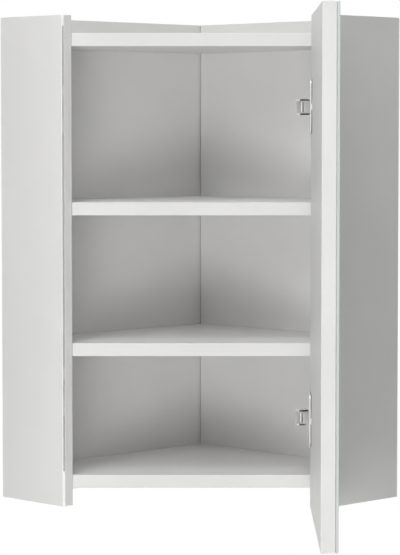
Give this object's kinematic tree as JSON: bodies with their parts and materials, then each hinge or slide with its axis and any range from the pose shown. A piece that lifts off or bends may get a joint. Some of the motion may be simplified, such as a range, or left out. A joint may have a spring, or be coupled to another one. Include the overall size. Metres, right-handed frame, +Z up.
{
  "type": "corner wall cabinet",
  "caption": "Diagonal corner wall cabinet with fixed shelves and a full-height mirror-faced door on concealed cup hinges, shown open.",
  "frame": {"origin": "the line where the two room walls meet, level with the lower ends of the side and back boards", "axes": "+Z up, -Y out of the room corner through the middle of the door opening, +X to the right seen from the front"},
  "size_m": [0.4964, 0.6621, 0.6],
  "materials": {
    "carcass_board_white": "satin white melamine-faced chipboard with white edge banding",
    "door_board_white": "satin white melamine-faced board with white edge banding",
    "mirror_glass": "silvered float glass with polished edges",
    "polished_trim": "bright polished strip",
    "adhesive": "matt mirror adhesive",
    "nickel_steel": "nickel-plated pressed steel",
    "pin_steel": "zinc-plated steel pins and lock screws",
    "zinc_steel": "bright zinc-plated steel",
    "die_cast_zinc": "die-cast zinc alloy, as cast"
  },
  "bodies": {
    "carcass": {"back_left": "carcass_board_white", "back_right": "carcass_board_white", "bottom_panel": "carcass_board_white", "cam_bolt_bottom_left": "zinc_steel", "cam_bolt_bottom_right": "zinc_steel", "cam_bolt_top_left": "zinc_steel", "cam_bolt_top_right": "zinc_steel", "cam_bottom_left": "die_cast_zinc", "cam_bottom_right": "die_cast_zinc", "cam_top_left": "die_cast_zinc", "cam_top_right": "die_cast_zinc", "hanger_left": "zinc_steel", "hanger_left_screw_1": "zinc_steel", "hanger_left_screw_2": "zinc_steel", "hanger_right": "zinc_steel", "hanger_right_screw_1": "zinc_steel", "hanger_right_screw_2": "zinc_steel", "hinge_lower_arm": "nickel_steel", "hinge_lower_arm_pin": "pin_steel", "hinge_lower_lock_screw": "pin_steel", "hinge_lower_plate": "nickel_steel", "hinge_lower_plate_screw_1": "nickel_steel", "hinge_lower_plate_screw_2": "nickel_steel", "hinge_upper_arm": "nickel_steel", "hinge_upper_arm_pin": "pin_steel", "hinge_upper_lock_screw": "pin_steel", "hinge_upper_plate": "nickel_steel", "hinge_upper_plate_screw_1": "nickel_steel", "hinge_upper_plate_screw_2": "nickel_steel", "screw_bottom_panel_left": "zinc_steel", "screw_bottom_panel_right": "zinc_steel", "screw_corner_1": "zinc_steel", "screw_corner_2": "zinc_steel", "screw_shelf_lower_left": "zinc_steel", "screw_shelf_lower_right": "zinc_steel", "screw_shelf_upper_left": "zinc_steel", "screw_shelf_upper_right": "zinc_steel", "screw_top_panel_left": "zinc_steel", "screw_top_panel_right": "zinc_steel", "shelf_lower": "carcass_board_white", "shelf_upper": "carcass_board_white", "side_left": "carcass_board_white", "side_right": "carcass_board_white", "top_panel": "carcass_board_white", "trim_left": "polished_trim", "trim_right": "polished_trim"},
    "door": {"door_board": "door_board_white", "door_mirror": "mirror_glass", "hinge_lower_cup": "nickel_steel", "hinge_lower_cup_screw_1": "nickel_steel", "hinge_lower_cup_screw_2": "nickel_steel", "hinge_upper_cup": "nickel_steel", "hinge_upper_cup_screw_1": "nickel_steel", "hinge_upper_cup_screw_2": "nickel_steel", "mirror_adhesive": "adhesive"},
    "link_upper": {"hinge_upper_link": "nickel_steel", "hinge_upper_cup_pin": "pin_steel"},
    "link_lower": {"hinge_lower_link": "nickel_steel", "hinge_lower_cup_pin": "pin_steel"}
  },
  "joints": [
    {"name": "door_hinge", "type": "hinge", "parent": "carcass", "child": "door", "pos_m": [0.14938, -0.3456, 0.3], "axis": [0, 0, 1], "range_deg": [-89.4, 2.6]},
    {"name": "hinge_upper_link_turn", "type": "hinge", "parent": "carcass", "child": "link_upper", "pos_m": [0.1236, -0.32202, 0.4885], "axis": [0, 0, 1], "range_deg": [-3, 36.5]},
    {"name": "hinge_lower_link_turn", "type": "hinge", "parent": "carcass", "child": "link_lower", "pos_m": [0.1236, -0.32202, 0.1095], "axis": [0, 0, 1], "range_deg": [-3, 36.5]}
  ],
  "couplings": [
    {"joint": "hinge_upper_link_turn", "follows": "door_hinge", "ratio": -0.39513},
    {"joint": "hinge_lower_link_turn", "follows": "door_hinge", "ratio": -0.39513}
  ]
}
